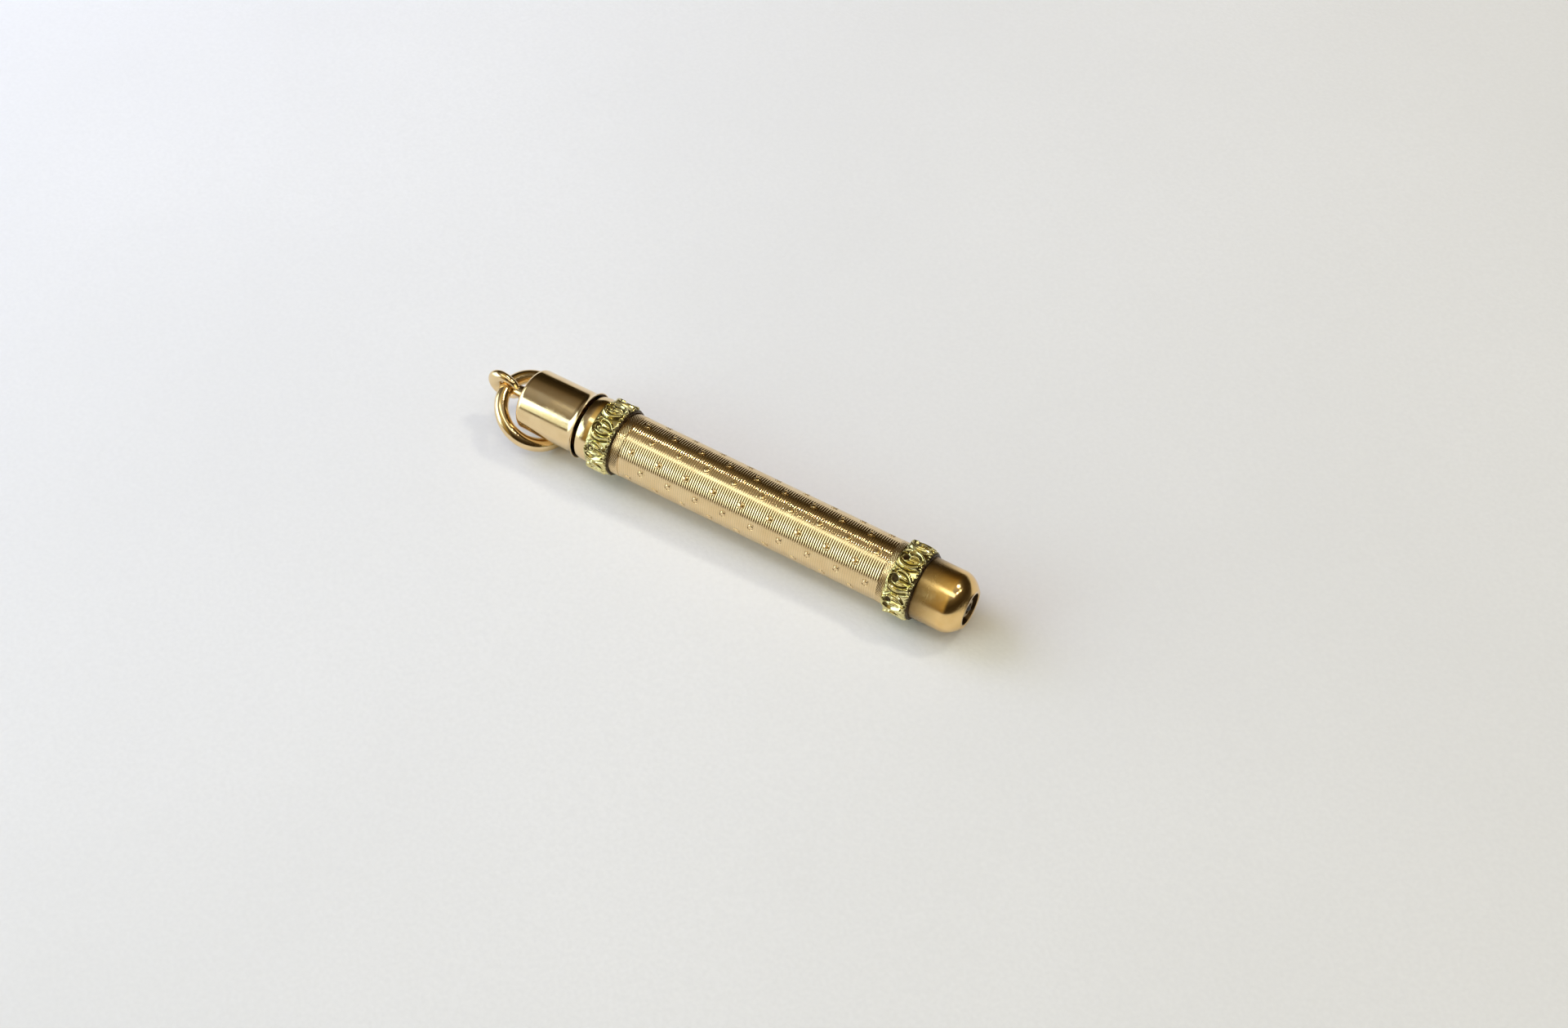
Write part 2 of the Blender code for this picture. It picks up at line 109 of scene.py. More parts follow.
# Cap, eye and ring
CAP_R = 3.25 * MM
CAP_EDGE = 0.58 * MM
CAP_TOP = 0.50 * MM
LIP_FLARE = 0.90 * MM
LIP_WALL = 0.16 * MM
RIVET_HOLE = 0.60 * MM
MOUTH_EDGE = 0.20 * MM
EYE_HOLE_R = 0.81 * MM
EYE_OUTER_R = 1.78 * MM
EYE_OFFSET = 0.63 * MM
EYE_LIMB_R = 0.36 * MM
NECK_FOOT_R = 0.84 * MM
NECK_R = 0.80 * MM
NECK_TOP_R = 0.62 * MM
SOLDER_GRAIN = 0.05 * MM
RING_MEAN_R = 3.685 * MM
RING_WIRE_R = 0.735 * MM
RING_FOLD = math.radians(33.18)

# Nose and point
NOSE_R = 3.15 * MM
NOSE_RIM_R = 2.05 * MM
NOSE_HOLE_R = 1.64 * MM
DOME_START = 25.90 * MM
NOSE_BORE_START = 24.60 * MM
NOZZLE_TAPER = 22.50 * MM
NOZZLE_TIP_R = 0.95 * MM
LEAD_BORE = 0.58 * MM
SPIGOT_BORE = 1.13 * MM
SPIGOT_END = 16.33 * MM
DRAW_TUBE_BORE = 2.525 * MM

TURN_STEPS = 128
SMOOTH = math.radians(38)
SMOOTH_CUTS = math.radians(70)
SMOOTH_DOTS = math.radians(50)
SMOOTH_SCROLLS = math.radians(75)
SMOOTH_WIRE = math.radians(60)
SAME_POINT = 1e-7
SAME_RIDGE_POINT = 1e-6


# Modelling helpers

def deselect():
    if bpy.context.mode != "OBJECT":
        bpy.ops.object.mode_set(mode="OBJECT")
    bpy.ops.object.select_all(action="DESELECT")


def activate(piece):
    deselect()
    piece.select_set(True)
    bpy.context.view_layer.objects.active = piece


def edit(piece):
    activate(piece)
    bpy.ops.object.mode_set(mode="EDIT")
    bpy.ops.mesh.select_mode(type="VERT")
    bpy.ops.mesh.select_all(action="SELECT")


def settle(piece, angle=SMOOTH):
    """Merge seams, turn the faces outwards and shade the finished mesh."""
    edit(piece)
    bpy.ops.mesh.remove_doubles(threshold=SAME_POINT)
    bpy.ops.mesh.normals_make_consistent(inside=False)
    bpy.ops.object.mode_set(mode="OBJECT")
    bpy.ops.object.transform_apply(location=True, rotation=True, scale=True)
    bpy.ops.object.shade_smooth_by_angle(angle=angle)
    return piece


def apply_modifier(piece, modifier):
    activate(piece)
    bpy.ops.object.modifier_apply(modifier=modifier.name)


def turn(name, outline, closed=True, steps=TURN_STEPS):
    """Draw an outline of (x, radius) points and spin it round the pencil's axis."""
    points = list(outline)
    if closed:
        points.append(points[0])
    deselect()
    bpy.ops.mesh.primitive_plane_add(size=MM)
    piece = bpy.context.object
    piece.name = name
    edit(piece)
    bpy.ops.mesh.merge(type="CENTER")
    bpy.ops.transform.translate(value=(points[0][0], 0, AXIS_Z + points[0][1]))
    for before, after in zip(points, points[1:]):
        move = (after[0] - before[0], 0, after[1] - before[1])
        bpy.ops.mesh.extrude_region_move(TRANSFORM_OT_translate={"value": move})
    bpy.ops.mesh.select_all(action="SELECT")
    bpy.ops.mesh.remove_doubles(threshold=SAME_POINT)
    bpy.ops.mesh.spin(steps=steps, angle=math.tau, center=(0, 0, AXIS_Z), axis=(1, 0, 0))
    return settle(piece)


def corner(x, radius, size, start, end, steps):
    """Points of a round corner of an outline, in degrees from +X towards the outside."""
    points = []
    for step in range(steps + 1):
        a = math.radians(start + (end - start) * step / steps)
        points.append((x + size * math.cos(a), radius + size * math.sin(a)))
    return points


def sweep(start, end, steps, bend):
    """Points of a bent line of an outline from start to end."""
    points = []
    for step in range(steps + 1):
        part = step / steps
        points.append((start[0] + (end[0] - start[0]) * part,
                       start[1] + (end[1] - start[1]) * part ** bend))
    return points


def radius_of(point):
    return math.hypot(point.y, point.z - AXIS_Z)


def move_to_radius(vert, radius):
    scale = radius / radius_of(vert.co)
    vert.co.y *= scale
    vert.co.z = AXIS_Z + (vert.co.z - AXIS_Z) * scale


def close_inside(piece, bore):
    """Turn an open skin's two rims inwards to the bore and join them there."""
    edit(piece)
    bpy.ops.mesh.remove_doubles(threshold=SAME_POINT)
    bpy.ops.mesh.select_all(action="DESELECT")
    bpy.ops.mesh.select_non_manifold()
    bpy.ops.mesh.extrude_region_move()
    bpy.ops.object.mode_set(mode="OBJECT")
    for vert in piece.data.vertices:
        if vert.select:
            move_to_radius(vert, bore)
    bpy.ops.object.mode_set(mode="EDIT")
    bpy.ops.mesh.bridge_edge_loops()


def paint(piece, amount):
    """Store how dark each point is painted, from its place along the pencil and its radius: mostly
    painted shade in cuts, gaps and holes.
    """
    layer = piece.data.attributes.new("shade_and_tarnish", "FLOAT", "POINT")
    for vert, value in zip(piece.data.vertices, layer.data):
        value.value = amount(vert.co.x, radius_of(vert.co))


# Barrel

def barrel_radius(x):
    part = (x - BARREL_START) / (BARREL_END - BARREL_START)
    return BARREL_REAR_R + (BARREL_FRONT_R - BARREL_REAR_R) * part


def cut_depth(x, radius, full):
    """How deep a point lies in a cut of the barrel, from 0 on the surface to 1 at full depth."""
    return min(1, max(0, (barrel_radius(x) - radius) / full))


def taper_to_front(piece):
    for vert in piece.data.vertices:
        move_to_radius(vert, radius_of(vert.co) * barrel_radius(vert.co.x) / BARREL_REAR_R)


def engraved_barrel():
    """Ring grooves along the barrel: one ridge is turned and repeated by an array."""
    pitch = (GROOVES_END - GROOVES_START) / GROOVE_COUNT
    steps = 6
    outline = []
    for step in range(steps + 1):
        drop = (1 + math.cos(math.tau * step / steps)) / 2
        outline.append((GROOVES_START + pitch * step / steps, BARREL_REAR_R - GROOVE_DEPTH * drop))
    piece = turn("engraved_barrel", outline, closed=False, steps=96)
    ridges = piece.modifiers.new("ridges", "ARRAY")
    ridges.use_relative_offset = False
    ridges.use_constant_offset = True
    ridges.constant_offset_displace = (pitch, 0, 0)
    ridges.count = GROOVE_COUNT
    ridges.use_merge_vertices = True
    ridges.merge_threshold = SAME_RIDGE_POINT
    apply_modifier(piece, ridges)
    taper_to_front(piece)
    close_inside(piece, CASE_BORE)
    settle(piece, SMOOTH_CUTS)
    # Painted shade in the bottoms of the grooves
    paint(piece, lambda x, r: GROOVE_SHADE * cut_depth(x, r, GROOVE_DEPTH) ** 2)
    return piece


def hatched_ring(name, start, end):
    """A ring of slanting cuts: a notched circle drawn along the axis with a twist."""
    per_line = 4
    deselect()
    bpy.ops.mesh.primitive_circle_add(vertices=HATCH_LINES * per_line, radius=BARREL_REAR_R,
                                      location=(start, 0, AXIS_Z), rotation=(0, math.pi / 2, 0))
    piece = bpy.context.object
    piece.name = name
    bpy.ops.object.transform_apply(location=True, rotation=True, scale=True)
    for vert in piece.data.vertices:
        if vert.index % per_line == 0:
            move_to_radius(vert, BARREL_REAR_R - HATCH_DEPTH)
    edit(piece)
    steps = 6
    length = (end - start) / steps
    twist = length * math.tan(HATCH_SLANT) / BARREL_REAR_R
    for _ in range(steps):
        bpy.ops.mesh.extrude_region_move(TRANSFORM_OT_translate={"value": (length, 0, 0)})
        bpy.ops.transform.rotate(value=twist, orient_axis="X", center_override=(0, 0, AXIS_Z))
    bpy.ops.object.mode_set(mode="OBJECT")
    taper_to_front(piece)
    close_inside(piece, CASE_BORE)
    settle(piece, SMOOTH_CUTS)
    # Painted shade in the bottoms of the slanting cuts
    paint(piece, lambda x, r: HATCH_SHADE * cut_depth(x, r, HATCH_DEPTH))
    return piece


def flat_dot():
    """A punched bead in a round moat, drawn flat as rings of (radius, height) in mm."""
    deselect()
    bpy.ops.mesh.primitive_circle_add(vertices=DOT_SIDES, radius=DOT_RINGS[0][0] * MM,
                                      location=(0, 0, DOT_RINGS[0][1] * MM))
    dot = bpy.context.object
    edit(dot)
    for (r0, h0), (r1, h1) in zip(DOT_RINGS, DOT_RINGS[1:]):
        bpy.ops.mesh.extrude_region_move(TRANSFORM_OT_translate={"value": (0, 0, (h1 - h0) * MM)})
        bpy.ops.transform.resize(value=(r1 / r0, r1 / r0, 1), center_override=(0, 0, 0))
    bpy.ops.mesh.extrude_region_move(TRANSFORM_OT_translate={"value": (0, 0, DOT_CROWN)})
    bpy.ops.mesh.merge(type="CENTER")
    bpy.ops.mesh.select_all(action="SELECT")
    bpy.ops.mesh.normals_make_consistent(inside=False)
    bpy.ops.object.mode_set(mode="OBJECT")
    bpy.ops.object.transform_apply(location=True, rotation=True, scale=True)
    return dot


def wrap_dot(flat, x, angle):
    """A copy of the flat dot laid on the barrel at a station and an angle from the top."""
    mesh = flat.data.copy()
    for vert in mesh.vertices:
        radius = barrel_radius(x) + vert.co.z
        turned = angle + vert.co.y / barrel_radius(x)
        vert.co = (x + vert.co.x, radius * math.sin(turned), AXIS_Z + radius * math.cos(turned))
    copy = bpy.data.objects.new("dot", mesh)
    bpy.context.scene.collection.objects.link(copy)
    return copy


def punched_dots():
    """Rows of dots round the barrel, every other row half a pitch further on."""
    flat = flat_dot()
    dots = []
    for row in range(DOT_ROWS):
        angle = DOT_FIRST_ROW + math.tau * row / DOT_ROWS
        x = DOT_FIRST_X + (DOT_PITCH / 2 if row % 2 else 0)
        while x < GROOVES_END - DOT_PITCH / 8:
            dots.append(wrap_dot(flat, x, angle))
            x += DOT_PITCH
    bpy.data.objects.remove(flat)
    deselect()
    for dot in dots:
        dot.select_set(True)
    bpy.context.view_layer.objects.active = dots[0]
    bpy.ops.object.join()
    piece = bpy.context.object
    piece.name = "punched_dots"
    bpy.ops.object.shade_smooth_by_angle(angle=SMOOTH_DOTS)
    # Painted shade in the moats round the dots
    paint(piece, lambda x, r: DOT_SHADE * cut_depth(x, r, GROOVE_DEPTH))
    return piece


# Scroll bands

def fade(low, high, value):
    part = np.clip((value - low) / (high - low), 0, 1)
    return part * part * (3 - 2 * part)


def ridge(p, q, path, width):
    """A rounded ridge along a path of (p, q) points, 1 on the path and 0 away from it."""
    nearest = np.full(p.shape, 9.0)
    for (p0, q0), (p1, q1) in zip(path, path[1:]):
        run = (p1 - p0) ** 2 + (q1 - q0) ** 2
        part = np.clip(((p - p0) * (p1 - p0) + (q - q0) * (q1 - q0)) / run, 0, 1)
        nearest = np.minimum(nearest, np.hypot(p - p0 - part * (p1 - p0), q - q0 - part * (q1 - q0)))
    return np.exp(-((nearest / width) ** 2))


SCROLL_LENGTH = 2.80
SCROLL_WIDTH = 2.48
SCROLL_BODY = 0.44
SCROLL_EYE = (0.66, 0.22)
EYE_HOLLOW = (0.43, 0.37)
EYE_BEAD = (0.78, 0.18)
BEAD_R = 0.21
BEAD_HEIGHT = 0.50
TEETH_AT = 2.62
RUN_TOGETHER = 5

# Ridges and cuts of one scroll: lines of (p, q) points in mm, a width and a strength
SCROLL_RIDGES = (
    (((0.62, 0.72), (0.34, 0.60), (0.16, 0.34), (0.12, 0.0)), 0.12, 1.00),
    (((0.12, 0.0), (0.24, -0.36), (0.60, -0.72), (1.15, -0.86), (1.70, -0.72), (2.15, -0.42)),
     0.25, 0.98),
    (((0.85, 1.14), (1.40, 1.12), (1.92, 0.90), (2.30, 0.50)), 0.17, 0.94),
    (((1.12, 0.10), (1.75, 0.15), (2.50, 0.08)), 0.10, 0.74),
    (((1.25, 0.66), (1.65, 0.55)), 0.24, 0.64),
    (((0.95, -0.26), (1.55, -0.20)), 0.12, 0.66),
)
SCROLL_CUTS = (
    (((1.20, 0.32), (1.75, 0.33), (2.30, 0.30)), 0.075, 0.90),
    (((0.80, 0.90), (1.35, 0.92), (1.78, 0.74), (2.08, 0.42)), 0.075, 0.85),
    (((0.50, -0.30), (0.85, -0.44), (1.25, -0.48), (1.70, -0.34), (2.05, -0.10)), 0.080, 0.90),
    (((0.04, -0.62), (0.40, -1.02), (1.05, -1.19), (1.70, -1.08), (2.25, -0.80)), 0.085, 0.90),
    (((0.20, 0.86), (0.60, 1.04), (0.95, 1.30)), 0.075, 0.70),
)


def rounded(path, rounds=3):
    """Cut the corners of a line until it bends smoothly."""
    for _ in range(rounds):
        cut = [path[0]]
        for (p0, q0), (p1, q1) in zip(path, path[1:]):
            cut += [(0.75 * p0 + 0.25 * p1, 0.75 * q0 + 0.25 * q1),
                    (0.25 * p0 + 0.75 * p1, 0.25 * q0 + 0.75 * q1)]
        path = cut + [path[-1]]
    return path


def joined(p, q, lines):
    """Several ridges run together, those of the scrolls on either side included."""
    total = np.zeros(p.shape)
    for path, width, strength in lines:
        for across in (-SCROLL_WIDTH, 0, SCROLL_WIDTH):
            total += (strength * ridge(p, q + across, rounded(path), width)) ** RUN_TOGETHER
    return np.minimum(1, total ** (1 / RUN_TOGETHER))


def scroll_height(p, q, bead):
    """Height of one scroll, 0 to 1, at p mm from its cap side and q mm from its middle."""
    ridges = joined(p, q, SCROLL_RIDGES)
    raised = (SCROLL_BODY ** RUN_TOGETHER + ridges ** RUN_TOGETHER) ** (1 / RUN_TOGETHER)
    height = raised * (1 - joined(p, q, SCROLL_CUTS))
    from_eye = np.hypot((p - SCROLL_EYE[0]) / EYE_HOLLOW[0], (q - SCROLL_EYE[1]) / EYE_HOLLOW[1])
    height = height * fade(0.80, 1.12, from_eye)
    from_bead = np.hypot(p - EYE_BEAD[0], q - EYE_BEAD[1]) / BEAD_R
    height += bead * BEAD_HEIGHT * np.exp(-(from_bead ** 4))
    notches = np.abs(np.sin(5 * np.pi * q / SCROLL_WIDTH)) ** 0.8
    teeth = TEETH_AT - 0.20 * notches + 0.06 * np.sin(11 * q)
    crust = 0.10 + 0.22 * np.abs(np.sin(9.3 * q + 4 * p)) * np.abs(np.sin(7 * p - 3 * q))
    height = height + (np.minimum(height, crust) - height) * fade(-0.10, 0.06, p - teeth)
    cap_edge = 0.02 + 0.22 * (2 * np.abs(q) / SCROLL_WIDTH) ** 3
    nose_edge = fade(SCROLL_LENGTH - 0.14, SCROLL_LENGTH, p)
    return np.clip(height * fade(0.0, 0.16, p - cap_edge) * (1 - nose_edge), 0, 1)


def scroll_band(name, node, seat, phase, bead):
    """A chased band: a fine grid bent round the barrel and raised into scrolls."""
    start, end = span(node)
    peak = outer_radius(node)
    deselect()
    bpy.ops.mesh.primitive_grid_add(x_subdivisions=SCROLL_ROWS,
                                    y_subdivisions=SCROLLS * SCROLL_COLUMNS, size=1)
    piece = bpy.context.object
    piece.name = name
    flat = np.empty(len(piece.data.vertices) * 3)
    piece.data.vertices.foreach_get("co", flat)
    along, around = flat.reshape(-1, 3)[:, 0] + 0.5, flat.reshape(-1, 3)[:, 1] + 0.5
    unit = np.floor(around * SCROLLS - 1e-6)
    p = along * SCROLL_LENGTH + 0.05 * np.sin(2.3 * unit)
    q = (around * SCROLLS - unit - 0.5) * SCROLL_WIDTH
    q = q + 0.05 * np.sin(1.7 * unit + 2.2 * along) * (1 - (2 * q / SCROLL_WIDTH) ** 2)
    height = scroll_height(p, q, bead)
    base = seat + BAND_PLATE
    radius = base + (peak - base) * height / height.max()
    angle = around * math.tau + phase
    shaped = np.column_stack((start + (end - start) * along, radius * np.sin(angle),
                              AXIS_Z + radius * np.cos(angle)))
    piece.data.vertices.foreach_set("co", shaped.ravel())
    # Painted shade in the hollows between the scrolls, weaker on the cap side; real tarnish along the
    # nose-side edge
    cap_side = 0.25 + 0.75 * fade(0.05, 0.20, along)
    hollow_shade = (1 - fade(0.10, 0.36, height)) * cap_side
    nose_side = fade(0.92, 0.97, along)
    shade_and_tarnish = piece.data.attributes.new("shade_and_tarnish", "FLOAT", "POINT")
    shade_and_tarnish.data.foreach_set("value", np.clip(hollow_shade + nose_side, 0, 1).astype(np.float32))
    close_inside(piece, seat)
    return settle(piece, SMOOTH_SCROLLS)


# Turned pieces

def polished_cap():
    end, lip = span("cap_shell")
    lip_r = outer_radius("cap_shell")
    edge = 0.05 * MM
    outline = [(end, RIVET_HOLE)]
    outline += corner(end + CAP_EDGE, CAP_R - CAP_EDGE, CAP_EDGE, 180, 90, 8)
    outline += sweep((lip - LIP_FLARE, CAP_R), (lip - edge, lip_r), 10, 2.4)
    outline += corner(lip - edge, lip_r - edge, edge, 60, -60, 4)
    outline += sweep((lip - edge, lip_r - LIP_WALL), (lip - LIP_FLARE, CASE_BORE), 10, 0.6)
    outline += [(end + CAP_TOP, CASE_BORE), (end + CAP_TOP, RIVET_HOLE)]
    piece = turn("polished_cap", outline)
    skin = 0.10 * MM
    wall = lip_r - LIP_WALL + 0.02 * MM

    def shade_under_lip(x, r):
        """Painted shade, dark inside the flared lip."""
        flare = max(0, (x - lip + LIP_FLARE) / LIP_FLARE)
        outside = CAP_R + (lip_r - CAP_R) * flare
        return 1.0 if x > lip - 1.1 * LIP_FLARE and r < min(wall, outside - skin) else 0.0

    paint(piece, shade_under_lip)
    return piece


def eye_washer():
    start, end = span("eye_collar")
    radius = outer_radius("eye_collar")
    half = (end - start) / 2
    outline = [(start, RIVET_HOLE)] + corner(start + half, radius - half, half, 180, 0, 10)
    outline += [(end, RIVET_HOLE)]
    piece = turn("eye_washer", outline, steps=64)
    # Painted shade, with some grime, along the edge against the cap
    paint(piece, lambda x, r: 0.8 if x > end - 0.06 * MM else 0.0)
    return piece


def swelled_collar():
    start, end = span("mouth_collar")
    shoulder = span("rear_scroll_band")[0] - 0.03 * MM
    top = outer_radius("mouth_collar")
    edge = top - 0.08 * MM
    outline = [(end, CASE_BORE), (end, BARREL_REAR_R), (shoulder, BARREL_REAR_R)]
    for step in range(13):
        part = step / 12
        outline.append((shoulder + (start + MOUTH_EDGE - shoulder) * part,
                        edge + (top - edge) * math.sin(math.pi * part)))
    outline += corner(start + MOUTH_EDGE, edge - MOUTH_EDGE, MOUTH_EDGE, 90, 180, 6)
    outline += [(start, CASE_BORE)]
    piece = turn("swelled_collar", outline)
    # Painted shade at the mouth edge, in the gap under the cap's lip
    paint(piece, lambda x, r: 1.0 if x < start + 0.7 * MOUTH_EDGE else 0.0)
    return piece


def domed_nose():
    start, end = span("nose")
    shoulder = span("front_scroll_band")[1] + 0.03 * MM
    lip = 0.05 * MM
    outline = [(start, CASE_BORE), (start, BARREL_FRONT_R), (shoulder, BARREL_FRONT_R),
               (shoulder, NOSE_R)]
    for step in range(25):
        part = step / 24
        outline.append((DOME_START + (end - lip - DOME_START) * part,
                        NOSE_R - (NOSE_R - NOSE_RIM_R) * part ** 2.2))
    outline += [(end, NOSE_RIM_R - lip)]
    outline += corner(end - lip, NOSE_HOLE_R + lip, lip, 0, -90, 3)
    outline += [(NOSE_BORE_START, NOSE_HOLE_R), (NOSE_BORE_START, CASE_BORE)]
    piece = turn("domed_nose", outline)
    # Painted shade inside the hole; darker also at the shoulder against the front band
    paint(piece, lambda x, r: 1.0 if r < NOSE_HOLE_R + 0.01 * MM else
          (0.8 if x < shoulder + 0.05 * MM else 0.0))
    return piece


def pencil_nozzle():
    start, end = span("nozzle")
    radius = outer_radius("nozzle")
    tip = 0.12 * MM
    outline = [(start, SPIGOT_BORE), (start, radius), (NOZZLE_TAPER - 0.2 * MM, radius)]
    outline += sweep((NOZZLE_TAPER, radius - 0.01 * MM), (end - 0.35 * MM, NOZZLE_TIP_R), 8, 1.15)
    outline += corner(end - tip, NOZZLE_TIP_R - tip, tip, 75, 0, 5)
    outline += [(end, LEAD_BORE), (SPIGOT_END, LEAD_BORE), (SPIGOT_END, SPIGOT_BORE)]
    piece = turn("pencil_nozzle", outline, steps=96)
    # Darker along the taper down to the tip
    paint(piece, lambda x, r: 0.55 if x > NOZZLE_TAPER else 0.0)
    return piece


def pencil_lead():
    start, end = span("lead")
    radius = outer_radius("lead")
    outline = [(start, 0.0), (start, radius), (end - 0.54 * MM, radius),
               (end - 0.06 * MM, 0.16 * MM), (end, 0.08 * MM), (end, 0.0)]
    return turn("pencil_lead", outline, closed=False, steps=48)


def sliding_tube():
    start, end = span("draw_tube")
    radius = outer_radius("draw_tube")
    edge = 0.06 * MM
    outline = [(start, DRAW_TUBE_BORE), (start, radius), (end - edge, radius),
               (end, radius - edge), (end, DRAW_TUBE_BORE)]
    return turn("sliding_tube", outline)


# Wire pieces

def wire_loop(name, centre, normal, outwards, mean, wire, steps):
    """Round wire drawn round a circle."""
    deselect()
    bpy.ops.mesh.primitive_circle_add(vertices=32, radius=wire)
    piece = bpy.context.object
    piece.name = name
    side = outwards.cross(normal)
    place = Matrix((outwards, normal, side)).transposed().to_4x4()
    place.translation = centre + outwards * mean
    piece.data.transform(place)
    edit(piece)
    bpy.ops.mesh.spin(steps=steps, angle=math.tau, center=centre, axis=normal)
    return settle(piece)


def hanging_ring():
    inwards = Vector((math.cos(RING_FOLD), 0, -math.sin(RING_FOLD)))
    normal = Vector((math.sin(RING_FOLD), 0, math.cos(RING_FOLD)))
    centre = RING_HINGE + inwards * RING_MEAN_R
    return wire_loop("hanging_ring", centre, normal, -inwards, RING_MEAN_R, RING_WIRE_R, 128)


def swell_outer_end(loop, mean, wire):
    """Make a wire loop round the ring's hinge thicker where its outside stands off the hole."""
    for vert in loop.data.vertices:
        out_x, out_z = vert.co.x - RING_HINGE.x, vert.co.z - RING_HINGE.z
        angle = math.atan2(out_z, out_x)
        reach = math.sqrt(EYE_OUTER_R ** 2 - (EYE_OFFSET * math.sin(angle)) ** 2)
        thick = max(EYE_LIMB_R, (reach - EYE_OFFSET * math.cos(angle) - EYE_HOLE_R) / 2)
        radius = EYE_HOLE_R + thick + (math.hypot(out_x, out_z) - mean) * thick / wire
        vert.co = (RING_HINGE.x + radius * math.cos(angle), vert.co.y * math.sqrt(thick / wire),
                   RING_HINGE.z + radius * math.sin(angle))


def cap_eye():
    """An eye with a heavy outer end on a tapered neck, run together as if soldered."""
    wire = (EYE_OUTER_R - EYE_HOLE_R) / 2
    loop = wire_loop("cap_eye", RING_HINGE, Vector((0, 1, 0)), Vector((0, 0, 1)),
                     EYE_HOLE_R + wire, wire, 96)
    swell_outer_end(loop, EYE_HOLE_R + wire, wire)
    foot = span("eye_collar")[0] + 0.1 * MM
    root = RING_HINGE.x + EYE_HOLE_R + 0.14 * MM
    outline = [(foot, 0.0), (foot, NECK_FOOT_R)]
    outline += sweep((foot - 0.25 * MM, NECK_R), (root, NECK_TOP_R), 6, 0.7) + [(root, 0.0)]
    neck = turn("eye_neck", outline, closed=False, steps=48)
    deselect()
    neck.select_set(True)
    loop.select_set(True)
    bpy.context.view_layer.objects.active = loop
    bpy.ops.object.join()
    solder = loop.modifiers.new("solder", "REMESH")
    solder.mode = "VOXEL"
    solder.voxel_size = SOLDER_GRAIN
    apply_modifier(loop, solder)
    rub = loop.modifiers.new("rub", "SMOOTH")
    rub.factor = 0.5
    rub.iterations = 6
    apply_modifier(loop, rub)
    piece = settle(loop, SMOOTH_WIRE)
    # The neck darkens towards the cap: painted shade with some grime
    paint(piece, lambda x, r: 0.8 * min(1, max(0, (x - root) / (foot - root))))
    return piece


# Finishes

class Finish:
    """A node material under construction: add() makes a node, link() joins two sockets."""

    def __init__(self, name):
        self.material = bpy.data.materials.new(name)
        self.material.use_nodes = True
        self.tree = self.material.node_tree
        self.shader = self.tree.nodes["Principled BSDF"]

    def add(self, kind, **values):
        made = self.tree.nodes.new(kind)
        for key, value in values.items():
            setattr(made, key, value)
        return made

    def link(self, start, end):
        self.tree.links.new(start, end)

    def noise(self, scale, detail, stretch=(1, 1, 1), turned=(0, 0, 0)):
        coords = self.add("ShaderNodeTexCoord")
        mapping = self.add("ShaderNodeMapping")
        mapping.inputs["Scale"].default_value = stretch
        mapping.inputs["Rotation"].default_value = turned
        noise = self.add("ShaderNodeTexNoise")
        noise.inputs["Scale"].default_value = scale
        noise.inputs["Detail"].default_value = detail
        self.link(coords.outputs["Object"], mapping.inputs["Vector"])
        self.link(mapping.outputs["Vector"], noise.inputs["Vector"])
        return noise.outputs["Fac"]

    def ramp(self, factor, *stops):
        ramp = self.add("ShaderNodeValToRGB")
        self.link(factor, ramp.inputs["Fac"])
        elements = ramp.color_ramp.elements
        while len(elements) < len(stops):
            elements.new(0.5)
        for element, (place, colour) in zip(elements, stops):
            element.position = place
            element.color = (*colour, 1) if isinstance(colour, tuple) else (colour,) * 3 + (1,)
        return ramp.outputs["Color"]

    def mix(self, factor, first, second):
        mixed = self.add("ShaderNodeMix", data_type="RGBA")
        self.link(factor, mixed.inputs["Factor"])
        self.link(first, mixed.inputs["A"])
        mixed.inputs["B"].default_value = (*second, 1)
        return mixed.outputs["Result"]

    def span(self, factor, low, high, start=0.3, end=0.7):
        ranged = self.add("ShaderNodeMapRange")
        self.link(factor, ranged.inputs["Value"])
        for key, value in (("From Min", start), ("From Max", end), ("To Min", low), ("To Max", high)):
            ranged.inputs[key].default_value = value
        return ranged.outputs["Result"]

    def sum(self, first, second):
        added = self.add("ShaderNodeMath", operation="ADD")
        self.link(first, added.inputs[0])
        self.link(second, added.inputs[1])
        return added.outputs["Value"]

    def times(self, first, second):
        product = self.add("ShaderNodeMath", operation="MULTIPLY")
        self.link(first, product.inputs[0])
        self.link(second, product.inputs[1])
        return product.outputs["Value"]

    def bump(self, height, distance):
        bump = self.add("ShaderNodeBump")
        bump.inputs["Strength"].default_value = 1.0
        bump.inputs["Distance"].default_value = distance
        self.link(height, bump.inputs["Height"])
        self.link(bump.outputs["Normal"], self.shader.inputs["Normal"])


